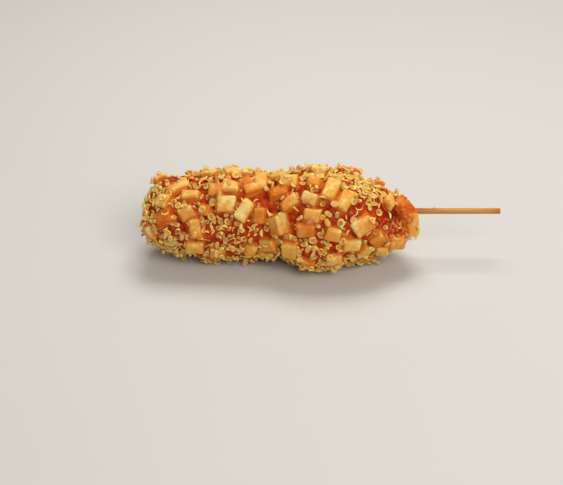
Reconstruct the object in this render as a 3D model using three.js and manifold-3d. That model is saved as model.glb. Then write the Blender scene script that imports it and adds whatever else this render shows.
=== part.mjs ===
// A potato corn dog: a sausage-shaped body of deep-fried batter on a bamboo skewer, rolled in
// diced potato and cooked quinoa before frying. It lies on its side on a flat surface.
// Units are millimetres. +X runs along the skewer to its free end and +Z is up.

import * as THREE from "three";
import { ConvexGeometry } from "three/addons/geometries/ConvexGeometry.js";
import { mergeVertices } from "three/addons/utils/BufferGeometryUtils.js";
import Module from "manifold-3d";

const wasm = await Module();
wasm.setup();

// ---------------------------------------------------------------- driving dimensions

const BODY_LENGTH = 139.5; // fried batter, from its blunt tip to the skewer end
const BODY_RADIUS = 19.3; // batter alone, away from its two swellings
const FRONT_SWELL = { at: 44, rise: 2.7, spread: 13 };
const BACK_SWELL = { at: 92, rise: 5, spread: 24 };
const TIP_CAP = 17; // length over which the blunt tip rounds off
const SKEWER_CAP = 42; // length over which the other end tapers to the skewer

// The batter's waves: height, waves round the body, run along it per radian, and phase.
const LUMPS = [[0.5, 3, 9, 0], [0.4, 5, -6, 1], [0.3, 2, 4, 2]];
const LUMPS_FADE = 12; // where the body is thinner than this, they are smaller

// The body isn't straight. Its middle line, as [distance from the tip, millimetres]: how far it
// is to the side of the skewer's line, and how high it is above what the corn dog lies on.
const MIDDLE_SIDE = [[55, 0.5], [88, -5.5], [118, -5.5], [139, -4]];
const MIDDLE_HEIGHT = [[55, 24], [88, 26], [105, 26], [139, 23]];

const SKEWER_RADIUS = 1.5;
const SKEWER_LENGTH = 150;
const SKEWER_SHOWN = 45; // what stands out of the batter
const SKEWER_POINT = 8; // length of the sharpened end, inside the body
const SKEWER_TIP = 0.35; // radius of the blunted point
const SKEWER_EDGE = 0.3; // worn edge of the cut end
const SKEWER_HEIGHT = 26.5; // above what the corn dog lies on

const DIE_HEIGHT = 7; // every die, across the batter's surface
const BARE_STANDS = 3.4; // how far a bare die stands out of the batter
const COATED_STANDS = 2.6; // and one that the batter has run over
const FACES_ALONG = 0.9; // a surface turned this far to the skewer counts as an end
const DIE_CHAMFER = 0.8; // its outer edges
const CORNER_WANDER = 0.45; // a knife-cut die is never square
const DIE_LEAN = 0.12; // and never sits quite flat

const GRAIN_RADIUS = 1.6; // swollen quinoa grain
const GRAIN_THICKNESS = 1.1; // half of its thickness
const GRAIN_PROUD = 0.7; // how far its middle stands above the batter
const GRAIN_COUNT = 256; // tried all over the body; those on a die or the floor are left out
const GRAIN_OVAL = 0.9; // width as a share of length
const GRAIN_SCALE = [0.85, 1.15]; // from the smallest to the largest
const GRAIN_LEAN = 0.5;
const GRAIN_STRAY = 0.08; // from an even lattice, in radians
const GRAIN_INSET = 1.5; // of the first and the last, from the body's ends

const GAP = 0.3; // between a piece and the batter that holds it

const PROFILE_STEPS = 26;
const ROUND_STEPS = 24;
const SKEWER_SIDES = 16;
const WELD = 1e-4; // points nearer than this are one
const RANDOM_SEED = 20260;

// ---------------------------------------------------------------- where the dice are

// Each row is: distance from the tip, angle round the body, then the die's length, width, turn
// from the body's length, and roll about its own length. Angles are in degrees. Round the body
// they run from the shown side (-Y) at 0 over the top at 90 to the far side at 180.
const SHOWN_BARE = [
  [4, -8, 7, 7, 25, 0],
  [12, 50, 7, 7.5, -20, 0],
  [18.5, 74, 12, 5, 35, 0],
  [23, 33, 7.5, 6.5, 27, 10],
  [25, 58, 8.5, 5.5, -8, 0],
  [27.5, 9, 10, 6.5, -84, 0],
  [27, -18, 9.5, 7.5, -5, 0],
  [35, 101, 9.5, 6.5, -15, 0],
  [43.2, 43.5, 9, 8, -8, 0],
  [45, 67, 8.5, 6.5, -6, 0],
  [46, 101, 9, 7, 15, 0],
  [52.5, 35, 10.5, 6.5, 56, 0],
  [55.5, -23, 7, 7.5, -14, 0],
  [58, 68, 11.5, 5.5, 20, 0],
  [61, 90, 7, 7.5, -4, 20],
  [63.5, -37, 8, 7, 10, 0],
  [65.5, -12, 8, 7, 20, 0],
  [69.5, 95, 7.5, 6, 0, 0],
  [70, 18, 10.5, 8, -74, 35],
  [75.5, -13, 11, 7.5, 89, 0],
  [75, 77, 9.5, 7, -10, 0],
  [76, 48, 9.5, 6, 31, 0],
  [83.5, 15, 9, 7, 5, 0],
  [86.5, 32, 8, 6.5, -10, 0],
  [86, 52, 8.5, 6, -27, 0],
  [88, 73, 7, 6.5, -6, 0],
  [90, 99, 8.5, 6.5, 0, 0],
  [96, 62, 12, 7.5, 70, 0],
  [97, 9, 7.5, 7, -21, 0],
  [98, -26, 8, 7, 4, 0],
  [102.5, 50, 11, 6.5, 60, 0],
  [106, -5, 9, 7, -12, 0],
  [112, 19, 10.5, 8, 30, 0],
  [113, -27, 8.5, 6.5, 45, 0],
  [120, -3, 7.5, 7.5, 29, 0],
  [122, -33, 7, 8, -9, 0],
  [125, 66, 6.5, 5.5, -31, 0],
  [129.5, -20, 8.5, 7.5, -13, 0],
  [136.5, 14, 10.5, 8, -86, 0],
];

const SHOWN_COATED = [
  [11, 23, 7.5, 6.5, 36, 0],
  [32.5, 37, 5.5, 5, -8, 0],
  [38, 63, 7, 6.5, 0, 0],
  [38.5, -29, 7.5, 7, -4, 0],
  [53, 79, 7, 5.5, 49, 0],
  [54, 105, 6, 7, -13, 0],
  [60, 29, 7.5, 6, 83, 0],
  [70, 61, 8.5, 6, 8, 0],
  [84.5, -38, 7, 8, 0, 0],
  [98, -42, 7, 6, -24, 0],
  [133, 65, 9, 7.5, -31, 0],
];

// Dice that the corn dog lies on, one under each swelling.
const RESTED_ON = [
  [40, -90, 9, 8.5, 8, 0],
  [97, -90, 9.5, 9, -12, 0],
];

// The far side and the underside: an even lattice of dice, coated by turns. The steps are
// what the share of each size, from its least to its most, grows by from die to die.
const FAR_SIDE = { count: 44, from: 8, to: 133, start: 126, sweep: 184 };
const FAR_LENGTH = { range: [7, 11], step: 0.755 };
const FAR_WIDTH = { range: [6, 8.5], step: 0.57 };
const FAR_TURN = { range: [0, 180], step: 0.325 };
const FAR_COATED = [false, true, false, true, true];
const DIE_SPACING = 9; // least distance from a far die's middle to another's

// ---------------------------------------------------------------- small helpers

const GOLDEN_SHARE = (Math.sqrt(5) - 1) / 2;
const radians = (degrees) => (degrees * Math.PI) / 180;
const clamp = (value, low, high) => Math.min(high, Math.max(low, value));

function makeRandom(seed) {
  let state = seed;
  return () => {
    state = (Math.imul(state, 1664525) + 1013904223) >>> 0;
    return state / 2 ** 32;
  };
}

function mix([low, high], share) {
  return low + (high - low) * share;
}

function toSolid(geometry) {
  const bare = geometry.index ? geometry.toNonIndexed() : geometry.clone();
  bare.deleteAttribute("normal");
  bare.deleteAttribute("uv");
  const merged = mergeVertices(bare, WELD);
  return new wasm.Manifold(
    new wasm.Mesh({
      numProp: 3,
      vertProperties: merged.attributes.position.array,
      triVerts: new Uint32Array(merged.index.array),
    }),
  );
}

function toGeometry(solid) {
  const mesh = solid.getMesh();
  const geometry = new THREE.BufferGeometry();
  const position = new THREE.BufferAttribute(mesh.vertProperties, mesh.numProp);
  geometry.setAttribute("position", position);
  geometry.setIndex(new THREE.BufferAttribute(mesh.triVerts, 1));
  geometry.computeVertexNormals();
  return geometry;
}

function largestPiece(solid) {
  const pieces = solid.decompose();
  return pieces.reduce((a, b) => (a.volume() > b.volume() ? a : b));
}

function aboveFloor(solid) {
  return solid.trimByPlane([0, 0, 1], 0);
}

// ---------------------------------------------------------------- the batter's own form

function swell(distance, { at, rise, spread }) {
  return rise * Math.exp(-(((distance - at) / spread) ** 2));
}

function roundOff(distance, reach) {
  const left = 1 - clamp(distance / reach, 0, 1);
  return Math.sqrt(1 - left * left);
}

function bodyRadius(distance) {
  const middle =
    BODY_RADIUS + swell(distance, FRONT_SWELL) + swell(distance, BACK_SWELL);
  const tip = roundOff(distance, TIP_CAP);
  return middle * tip * roundOff(BODY_LENGTH - distance, SKEWER_CAP);
}

// The value at a distance between stations, eased from each one to the next.
function valueAt(distance, stations) {
  let value = stations[0][1];
  for (let i = 1; i < stations.length; i++) {
    const [from, before] = stations[i - 1];
    const [to, after] = stations[i];
    const share = clamp((distance - from) / (to - from), 0, 1);
    value += (after - before) * share * share * (3 - 2 * share);
  }
  return value;
}

// The middle line, as [y, z], with y counted from the skewer.
function bodyMiddle(distance) {
  return [valueAt(distance, MIDDLE_SIDE), valueAt(distance, MIDDLE_HEIGHT)];
}

// Angles run round the body from -Y (0) over the top (90 degrees) to +Y (180).
function lumps(distance, angle) {
  return LUMPS.reduce(
    (sum, [height, waves, run, phase]) =>
      sum + height * Math.sin(waves * angle + distance / run + phase),
    0,
  );
}

function batterPoint(distance, angle, lift = 0) {
  const [y, z] = bodyMiddle(distance);
  const bare = bodyRadius(distance);
  const fade = clamp(bare / LUMPS_FADE, 0, 1);
  const radius = bare + fade * lumps(distance, angle) + lift;
  return new THREE.Vector3(
    distance,
    y - radius * Math.cos(angle),
    z + radius * Math.sin(angle),
  );
}

function batterNormal(distance, angle) {
  const step = 0.5;
  const turn = step / BODY_RADIUS;
  const near = clamp(distance, 2 * step, BODY_LENGTH - 2 * step);
  const along = batterPoint(near + step, angle).sub(batterPoint(near - step, angle));
  const round = batterPoint(near, angle + turn).sub(batterPoint(near, angle - turn));
  return along.cross(round).normalize();
}

function makeBatterCore() {
  const profile = [];
  for (let i = 0; i <= PROFILE_STEPS; i++) {
    const distance = (BODY_LENGTH * (1 - Math.cos((Math.PI * i) / PROFILE_STEPS))) / 2;
    const onAxis = i === 0 || i === PROFILE_STEPS;
    profile.push(new THREE.Vector2(onAxis ? 0 : 1, distance));
  }
  const geometry = new THREE.LatheGeometry(profile, ROUND_STEPS);
  const position = geometry.attributes.position;
  for (let i = 0; i < position.count; i++) {
    const angle = Math.atan2(position.getZ(i), position.getX(i));
    const point = batterPoint(position.getY(i), angle);
    position.setXYZ(i, point.x, point.y, point.z);
  }
  return toSolid(geometry);
}

// ---------------------------------------------------------------- potato dice

// The pose of a thing that sits on the batter: its z axis points outwards.
function batterPose(distance, angle, lift, lean) {
  const out = batterNormal(distance, angle).add(lean).normalize();
  const along = new THREE.Vector3(1, 0, 0);
  if (Math.abs(out.x) > FACES_ALONG) along.set(0, -Math.sin(angle), -Math.cos(angle));
  along.addScaledVector(out, -along.dot(out)).normalize();
  const across = out.clone().cross(along);
  const point = batterPoint(distance, angle).addScaledVector(out, lift);
  return new THREE.Matrix4().makeBasis(along, across, out).setPosition(point);
}

function randomLean(random, most) {
  const part = () => mix([-most, most], random());
  return new THREE.Vector3(part(), part(), part());
}

// Eight corners, each a little off square; the outer four are chamfered.
function dieGeometry({ size, wander, pose }, grow, chamfer) {
  const points = [];
  for (let corner = 0; corner < 8; corner++) {
    const side = [0, 1, 2].map((axis) => (corner & (1 << axis) ? 1 : -1));
    const at = side.map(
      (sign, axis) => sign * (size[axis] / 2 + grow) + wander[corner][axis],
    );
    const isOuter = side[2] > 0;
    for (const kept of isOuter && chamfer ? [0, 1, 2] : [null]) {
      const point = at.map((value, axis) =>
        kept === null || axis === kept ? value : value - side[axis] * chamfer,
      );
      points.push(new THREE.Vector3(...point));
    }
  }
  return new ConvexGeometry(points).applyMatrix4(pose);
}

function makeDie([distance, degrees, length, width, turn, roll], stands, random) {
  const corners = Array.from({ length: 8 });
  const wander = corners.map(() => randomLean(random, CORNER_WANDER).toArray());
  const lean = randomLean(random, DIE_LEAN);
  const lift = stands - DIE_HEIGHT / 2;
  const pose = batterPose(distance, radians(degrees), lift, lean);
  pose.multiply(new THREE.Matrix4().makeRotationZ(radians(turn)));
  pose.multiply(new THREE.Matrix4().makeRotationX(radians(roll)));
  return { size: [length, width, DIE_HEIGHT], wander, pose };
}

// Sizes that spread evenly over a range and never fall into step with one another.
function spread(index, { range, step }) {
  return mix(range, (index * step) % 1);
}

// Rows for the side that the tables leave out.
function farRows() {
  const { count, from, to, start, sweep } = FAR_SIDE;
  const rows = [];
  for (let i = 0; i < count; i++) {
    const distance = from + ((to - from) * (i + 0.5)) / count;
    const degrees = start + sweep * ((i * GOLDEN_SHARE) % 1);
    const sizes = [FAR_LENGTH, FAR_WIDTH, FAR_TURN].map((size) => spread(i, size));
    rows.push([distance, degrees, ...sizes, 0]);
  }
  return rows;
}

function centreOf(die) {
  return new THREE.Vector3().setFromMatrixPosition(die.pose);
}

function isClear(die, others) {
  const centre = centreOf(die);
  return others.every((other) => centreOf(other).distanceTo(centre) > DIE_SPACING);
}

// ---------------------------------------------------------------- quinoa on the batter

function nearDie(point, dice, clearance) {
  return dice.some((die) => {
    const local = point.clone().applyMatrix4(die.pose.clone().invert());
    const past = local.toArray().map(
      (value, axis) => Math.abs(value) - die.size[axis] / 2 - CORNER_WANDER,
    );
    return Math.max(...past) < clearance;
  });
}

function makeGrains(bareDice, random) {
  const grains = [];
  for (let i = 0; i < GRAIN_COUNT; i++) {
    const share = (i + 0.5) / GRAIN_COUNT;
    const distance = mix([GRAIN_INSET, BODY_LENGTH - GRAIN_INSET], share);
    const stray = mix([-GRAIN_STRAY, GRAIN_STRAY], random());
    const angle = 2 * Math.PI * i * GOLDEN_SHARE + stray;
    const scale = mix(GRAIN_SCALE, random());
    const lean = randomLean(random, GRAIN_LEAN);
    const pose = batterPose(distance, angle, GRAIN_PROUD, lean);
    const centre = new THREE.Vector3().setFromMatrixPosition(pose);
    const tooLow = centre.z < GRAIN_RADIUS;
    if (tooLow || nearDie(centre, bareDice, GRAIN_RADIUS + GAP)) continue;
    const geometry = new THREE.IcosahedronGeometry(GRAIN_RADIUS * scale, 0);
    geometry.scale(1, GRAIN_OVAL, GRAIN_THICKNESS / GRAIN_RADIUS);
    grains.push(toSolid(geometry.applyMatrix4(pose)));
  }
  return grains;
}

// ---------------------------------------------------------------- the skewer

function skewerGeometry(grow) {
  const radius = SKEWER_RADIUS + grow;
  const start = -SKEWER_LENGTH - grow;
  const profile = [
    [0, start],
    [SKEWER_TIP + grow, start],
    [radius, start + SKEWER_POINT],
    [radius, -SKEWER_EDGE],
    [radius - SKEWER_EDGE, grow],
    [0, grow],
  ];
  const points = profile.map(([r, along]) => new THREE.Vector2(r, along));
  const geometry = new THREE.LatheGeometry(points, SKEWER_SIDES);
  geometry.rotateZ(-Math.PI / 2);
  return geometry.translate(BODY_LENGTH + SKEWER_SHOWN, 0, SKEWER_HEIGHT);
}

// ---------------------------------------------------------------- materials

const batterFinish = new THREE.MeshStandardMaterial({
  color: 0xa8401a,
  roughness: 0.45,
  metalness: 0,
});
const potatoFinish = new THREE.MeshStandardMaterial({
  color: 0xe0ae5c,
  roughness: 0.5,
  metalness: 0,
});
const bambooFinish = new THREE.MeshStandardMaterial({
  color: 0xc68d4e,
  roughness: 0.7,
  metalness: 0,
});

// ---------------------------------------------------------------- putting it together

function makeMesh(name, solid, material) {
  const mesh = new THREE.Mesh(toGeometry(solid), material);
  mesh.name = name;
  return mesh;
}

const random = makeRandom(RANDOM_SEED);
const bareDice = [...RESTED_ON, ...SHOWN_BARE].map((row) =>
  makeDie(row, BARE_STANDS, random),
);
const coatedDice = SHOWN_COATED.map((row) => makeDie(row, COATED_STANDS, random));
farRows().forEach((row, i) => {
  const isCoated = FAR_COATED[i % FAR_COATED.length];
  const die = makeDie(row, isCoated ? COATED_STANDS : BARE_STANDS, random);
  if (!isClear(die, [...bareDice, ...coatedDice])) return;
  (isCoated ? coatedDice : bareDice).push(die);
});

// A die that touches one placed before it gives way by a hair's gap.
const dieSolids = [];
const pockets = [];
for (const die of bareDice) {
  let solid = aboveFloor(toSolid(dieGeometry(die, 0, DIE_CHAMFER)));
  for (const pocket of pockets) solid = solid.subtract(pocket);
  dieSolids.push(largestPiece(solid));
  pockets.push(toSolid(dieGeometry(die, GAP, 0)));
}

const coated = coatedDice.map((die) => toSolid(dieGeometry(die, 0, DIE_CHAMFER)));
const bore = toSolid(skewerGeometry(GAP));
const dressed = wasm.Manifold.union([
  makeBatterCore(),
  ...coated,
  ...makeGrains(bareDice, random),
]);
const held = wasm.Manifold.union([...pockets, bore]);
const batter = largestPiece(aboveFloor(dressed.subtract(held)));

const cornDog = new THREE.Group();
cornDog.add(makeMesh("batter", batter, batterFinish));
cornDog.add(makeMesh("skewer", toSolid(skewerGeometry(0)), bambooFinish));
dieSolids.forEach((solid, i) => {
  const name = "potato_" + String(i + 1).padStart(2, "0");
  cornDog.add(makeMesh(name, solid, potatoFinish));
});

// The origin is on the surface it lies on, under the middle of the whole.
const whole = new THREE.Box3().setFromObject(cornDog);
const middle = whole.getCenter(new THREE.Vector3());
cornDog.position.set(-middle.x, -middle.y, 0);

export default cornDog;
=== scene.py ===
import math
import random

import bmesh
import bpy
from mathutils import Matrix, Vector, noise
from mathutils.bvhtree import BVHTree
from mathutils.kdtree import KDTree


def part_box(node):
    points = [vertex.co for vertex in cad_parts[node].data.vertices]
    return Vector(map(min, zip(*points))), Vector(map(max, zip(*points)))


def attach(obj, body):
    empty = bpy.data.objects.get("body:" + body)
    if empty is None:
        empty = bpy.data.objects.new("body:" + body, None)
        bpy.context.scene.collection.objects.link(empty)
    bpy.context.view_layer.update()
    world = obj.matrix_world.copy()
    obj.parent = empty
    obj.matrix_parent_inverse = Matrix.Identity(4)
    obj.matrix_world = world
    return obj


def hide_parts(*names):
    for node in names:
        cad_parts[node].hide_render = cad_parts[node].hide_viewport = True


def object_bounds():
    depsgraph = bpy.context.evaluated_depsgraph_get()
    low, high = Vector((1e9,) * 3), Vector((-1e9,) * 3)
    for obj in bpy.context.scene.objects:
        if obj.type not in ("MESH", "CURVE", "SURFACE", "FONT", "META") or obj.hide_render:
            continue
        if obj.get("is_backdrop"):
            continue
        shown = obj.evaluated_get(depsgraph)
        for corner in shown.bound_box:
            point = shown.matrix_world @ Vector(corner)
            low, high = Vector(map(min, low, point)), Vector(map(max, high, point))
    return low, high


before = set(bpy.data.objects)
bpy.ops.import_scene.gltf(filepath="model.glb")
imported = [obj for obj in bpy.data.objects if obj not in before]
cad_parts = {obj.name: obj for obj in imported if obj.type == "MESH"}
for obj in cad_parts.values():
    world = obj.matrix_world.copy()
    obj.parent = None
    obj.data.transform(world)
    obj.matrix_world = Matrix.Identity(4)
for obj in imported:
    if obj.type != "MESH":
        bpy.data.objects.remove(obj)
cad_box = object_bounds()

# ------------------------------------------------------------------------------------ camera
# A long lens a little above the table, square to the corn dog's length, so that all of it
# shows from its side and the skewer lies level.
MM = 0.001
CAMERA_TILT = math.radians(31)
CAMERA_DISTANCE = 785 * MM
CAMERA_FOCUS_PX = 1515
FRAME_WIDTH_PX = 563
SENSOR_WIDTH_MM = 36
AIM_BEFORE_SKEWER_END = 113.2 * MM
AIM_BELOW_SKEWER = 16.3 * MM

skewer_low, skewer_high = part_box("skewer")
skewer_line = (skewer_low + skewer_high) / 2
look = Vector((0, math.cos(CAMERA_TILT), -math.sin(CAMERA_TILT)))
up = Vector((0, math.sin(CAMERA_TILT), math.cos(CAMERA_TILT)))
target = Vector((skewer_high.x - AIM_BEFORE_SKEWER_END, skewer_line.y, skewer_line.z))
target -= up * AIM_BELOW_SKEWER

lens = bpy.data.cameras.new("camera")
lens.sensor_width = SENSOR_WIDTH_MM
lens.lens = CAMERA_FOCUS_PX / FRAME_WIDTH_PX * SENSOR_WIDTH_MM
lens.clip_start = 10 * MM
camera = bpy.data.objects.new("camera", lens)
camera.location = target - look * CAMERA_DISTANCE
camera.rotation_euler = (math.pi / 2 - CAMERA_TILT, 0, 0)
bpy.context.collection.objects.link(camera)
bpy.context.scene.camera = camera


# ------------------------------------------------------------------------- studio and lights
# A sheet of pale matt paper, lit by a soft box above and behind and by a wider one high in
# front, under a dim warm sky, so that the top is bright and the shadows stay soft.
class Wire:
    """One output of a node. Arithmetic on it adds Math nodes."""

    def __init__(self, finish, socket):
        self.finish = finish
        self.socket = socket

    def math(self, operation, a, b):
        return self.finish.node("Math", {"operation": operation}, {0: a, 1: b})

    def __add__(self, other):
        return self.math("ADD", self, other)

    def __rsub__(self, other):
        return self.math("SUBTRACT", other, self)

    def __mul__(self, other):
        return self.math("MULTIPLY", self, other)

    __radd__ = __add__
    __rmul__ = __mul__


class Finish:
    """A procedural material on the Principled shader."""

    def __init__(self, name, constants):
        self.material = bpy.data.materials.new(name)
        self.material.use_nodes = True
        self.tree = self.material.node_tree
        self.shader = self.tree.nodes["Principled BSDF"]
        for key, value in constants.items():
            self.shader.inputs[key].default_value = value

    def node(self, kind, settings, sockets, output=0):
        made = self.tree.nodes.new("ShaderNode" + kind)
        for key, value in settings.items():
            setattr(made, key, value)
        for key, value in sockets.items():
            self.feed(made.inputs[key], value)
        return Wire(self, made.outputs[output])

    def feed(self, socket, value):
        if isinstance(value, Wire):
            self.tree.links.new(value.socket, socket)
        else:
            socket.default_value = value

    def surface(self, **sockets):
        for key, value in sockets.items():
            self.feed(self.shader.inputs[key.replace("_", " ")], value)

    def place(self):
        return self.node("TexCoord", {}, {}, "Object")

    def noise(self, scale, detail=2, stretch=(1, 1, 1)):
        where = self.node("Mapping", {}, {"Vector": self.place(), "Scale": stretch})
        return self.node("TexNoise", {}, {"Vector": where, "Scale": scale, "Detail": detail})

    def ramp(self, value, low, high):
        """Value from low to high, made 0 to 1 and eased."""
        return self.node("MapRange", {"interpolation_type": "SMOOTHSTEP"}, {
            "Value": value, "From Min": low, "From Max": high,
        })

    def mix(self, share, first, second):
        """The first colour where the share is none, and the second where it is one."""
        return self.node("Mix", {"data_type": "RGBA"}, {0: share, 6: first, 7: second}, 2)

    def attribute(self, name):
        return self.node("Attribute", {"attribute_name": name}, {}, "Fac")

    def bump(self, height, strength, distance):
        return self.node("Bump", {}, {
            "Height": height, "Strength": strength, "Distance": distance,
        })


def new_piece(name, mesh, *materials):
    piece = bpy.data.objects.new(name, mesh)
    bpy.context.collection.objects.link(piece)
    for material in materials:
        mesh.materials.append(material)
    return piece


def mesh_from(bm, name):
    mesh = bpy.data.meshes.new(name)
    bm.to_mesh(mesh)
    bm.free()
    mesh.shade_smooth()
    return mesh


FLOOR_SIZE = 6.0
PAPER = (0.66, 0.665, 0.68, 1)
PAPER_SHADE = (0.63, 0.635, 0.65, 1)
PAPER_GRAIN = 2.5

paper = Finish("floor_paper", {"Roughness": 0.9, "Specular IOR Level": 0.2})
paper.surface(Base_Color=paper.mix(paper.noise(PAPER_GRAIN), PAPER, PAPER_SHADE))
bm = bmesh.new()
bmesh.ops.create_grid(bm, x_segments=2, y_segments=2, size=FLOOR_SIZE / 2)
floor = new_piece("floor", mesh_from(bm, "floor"), paper.material)
floor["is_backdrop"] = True

LAMP_AIM = Vector((0, 0, 0.02))
LAMPS = {  # place, size, power in watts and colour
    "key_light": ((0.05, 0.3, 0.78), (0.5, 0.4), 4.7, (1, 0.95, 0.86)),
    "front_light": ((0.35, -0.78, 0.74), (0.7, 0.5), 6.9, (1, 0.94, 0.84)),
}
SKY_COLOUR = (1, 0.95, 0.85, 1)
SKY_STRENGTH = 0.26

for name, (place, size, power, colour) in LAMPS.items():
    light = bpy.data.lights.new(name, "AREA")
    light.shape = "RECTANGLE"
    light.size, light.size_y = size
    light.energy = power
    light.color = colour
    lamp = bpy.data.objects.new(name, light)
    lamp.location = place
    lamp.rotation_euler = (LAMP_AIM - Vector(place)).to_track_quat("-Z", "Y").to_euler()
    bpy.context.collection.objects.link(lamp)

sky = bpy.data.worlds.new("sky")
sky.use_nodes = True
sky.node_tree.nodes["Background"].inputs["Color"].default_value = SKY_COLOUR
sky.node_tree.nodes["Background"].inputs["Strength"].default_value = SKY_STRENGTH
bpy.context.scene.world = sky
bpy.context.scene.view_settings.view_transform = "Standard"

# ------------------------------------------------------------------------------------ batter
# Yeast batter, deep-fried red-orange and oily: a sausage shape with two swellings, which
# creeps up the sides of the potato dice pressed into it and is craggy near the skewer.
BODY_LENGTH = 139.5  # millimetres, as are all distances along the body from its blunt tip
BODY_RADIUS = 19.3
FRONT_SWELL = (44, 2.7, 13)  # distance, rise and reach along
BACK_SWELL = (92, 5, 24)
TIP_CAP = 17
SKEWER_CAP = 42
SKEWER_SHOWN = 45
MIDDLE_SIDE = ((55, 0.5), (88, -5.5), (118, -5.5), (139, -4))
MIDDLE_HEIGHT = ((55, 24), (88, 26), (105, 26), (139, 23))
LUMPS = ((0.5, 3, 9, 0), (0.4, 5, -6, 1), (0.3, 2, 4, 2))  # height, waves round, pitch, shift
LUMPS_FULL_FROM = 12  # the body's radius from which they have their full height
SLOPE_STEP, SLOPE_TURN = 0.5, 0.025  # millimetres and radians, to each side of a point
END_FACING = 0.9  # a face that points along the body by more than this is on an end
TIP_X = skewer_high.x - (SKEWER_SHOWN + BODY_LENGTH) * MM


def clamp(value, low=0.0, high=1.0):
    return min(max(value, low), high)


def swell(distance, at, rise, spread):
    return rise * math.exp(-(((distance - at) / spread) ** 2))


def round_off(distance, reach):
    left = 1 - clamp(distance / reach)
    return math.sqrt(1 - left * left)


def body_radius(distance):
    middle = BODY_RADIUS + swell(distance, *FRONT_SWELL) + swell(distance, *BACK_SWELL)
    tip = round_off(distance, TIP_CAP)
    return middle * tip * round_off(BODY_LENGTH - distance, SKEWER_CAP)


def value_at(distance, stations):
    """Eased from one station to the next, and level before the first and past the last."""
    value = stations[0][1]
    for (start, before), (end, after) in zip(stations, stations[1:]):
        share = clamp((distance - start) / (end - start))
        value += (after - before) * share * share * (3 - 2 * share)
    return value


def lumps(distance, angle):
    return sum(
        height * math.sin(waves * angle + distance / pitch + shift)
        for height, waves, pitch, shift in LUMPS
    )


def middle_point(distance):
    side = value_at(distance, MIDDLE_SIDE) * MM
    height = value_at(distance, MIDDLE_HEIGHT) * MM
    return Vector((TIP_X + distance * MM, skewer_line.y + side, height))


def batter_point(distance, angle):
    """A point on the batter: millimetres from the tip, and radians round from the front."""
    bare = body_radius(distance)
    radius = bare + clamp(bare / LUMPS_FULL_FROM) * lumps(distance, angle)
    out = Vector((0, -math.cos(angle), math.sin(angle)))
    return middle_point(distance) + out * radius * MM


def batter_out(distance, angle):
    """The direction straight out of the batter at a point on it."""
    near = clamp(distance, 1, BODY_LENGTH - 1)
    along = batter_point(near + SLOPE_STEP, angle) - batter_point(near - SLOPE_STEP, angle)
    across = batter_point(near, angle + SLOPE_TURN) - batter_point(near, angle - SLOPE_TURN)
    return along.cross(across).normalized()


def pose_on(point, out, angle):
    """A pose with its Z axis outwards, and its X axis along the body or down an end of it."""
    along = Vector((1, 0, 0))
    if abs(out.x) > END_FACING:
        along = Vector((0, -math.sin(angle), -math.cos(angle)))
    along = (along - out * along.dot(out)).normalized()
    pose = Matrix((along, out.cross(along), out)).transposed().to_4x4()
    pose.translation = point
    return pose


def die_pose(distance, degrees, turn, lift):
    angle = math.radians(degrees)
    out = batter_out(distance, angle)
    pose = pose_on(batter_point(distance, angle) + out * lift * MM, out, angle)
    return pose @ Matrix.Rotation(math.radians(turn), 4, "Z")


# Dice that the batter has run over, so that they are one solid with it. Each has a distance,
# degrees round from the front, length, width, turn, and glaze: how much batter is on it.
DIE_HEIGHT = 7
FUSED_STANDS = 2.6
DIE_SPACING = 9 * MM
SHOWN_FUSED = (
    (11, 23, 7.5, 6.5, 36, 0.8),
    (32.5, 37, 5.5, 5, -8, 0.55),
    (38, 63, 7, 6.5, 0, 0.6),
    (38.5, -29, 7.5, 7, -4, 0.3),
    (53, 79, 7, 5.5, 49, 0.7),
    (54, 105, 6, 7, -13, 0.3),
    (60, 29, 7.5, 6, 83, 0.45),
    (70, 61, 8.5, 6, 8, 0.78),
    (84.5, -38, 7, 8, 0, 0.4),
    (98, -42, 7, 6, -24, 0.4),
    (133.5, 67, 10, 8.5, -31, 0.92),
)
FAR_COUNT = 44  # on the far side, as a sunflower's seeds lie, and not all of them coated
FAR_GROUP, FAR_BARE = 5, (0, 2)  # of every five, those that are bare
FAR_FROM, FAR_TO = 8, 133
FAR_START, FAR_SWEEP = 126, 184
FAR_LENGTH = (7, 11)
FAR_WIDTH = (6, 8.5)
FAR_GLAZE = (0.15, 0.9)
FAR_STEPS = (0.755, 0.57, 0.43, 0.325)  # from one to the next, in length, width, glaze and turn
GOLDEN_SHARE = (math.sqrt(5) - 1) / 2
COATED_FROM, COATED_FULL = 0.5, 0.9  # the glaze at which batter starts to lie thick on a die
COATED_RISE = 1.3


def mix(pair, share):
    return pair[0] + (pair[1] - pair[0]) * share


def far_rows():
    """The far side's coated dice."""
    rows = []
    for i in range(FAR_COUNT):
        if i % FAR_GROUP in FAR_BARE:
            continue
        distance = FAR_FROM + (FAR_TO - FAR_FROM) * (i + 0.5) / FAR_COUNT
        degrees = FAR_START + FAR_SWEEP * (i * GOLDEN_SHARE % 1)
        long, wide, covered, turned = (i * step % 1 for step in FAR_STEPS)
        size = mix(FAR_LENGTH, long), mix(FAR_WIDTH, wide)
        rows.append((distance, degrees, *size, 180 * turned, mix(FAR_GLAZE, covered)))
    return rows


def coating(glaze):
    """From none to one: how thick the batter lies over a die."""
    return clamp((glaze - COATED_FROM) / (COATED_FULL - COATED_FROM))


def node_middle(name):
    low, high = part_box(name)
    return (low + high) / 2


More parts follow.
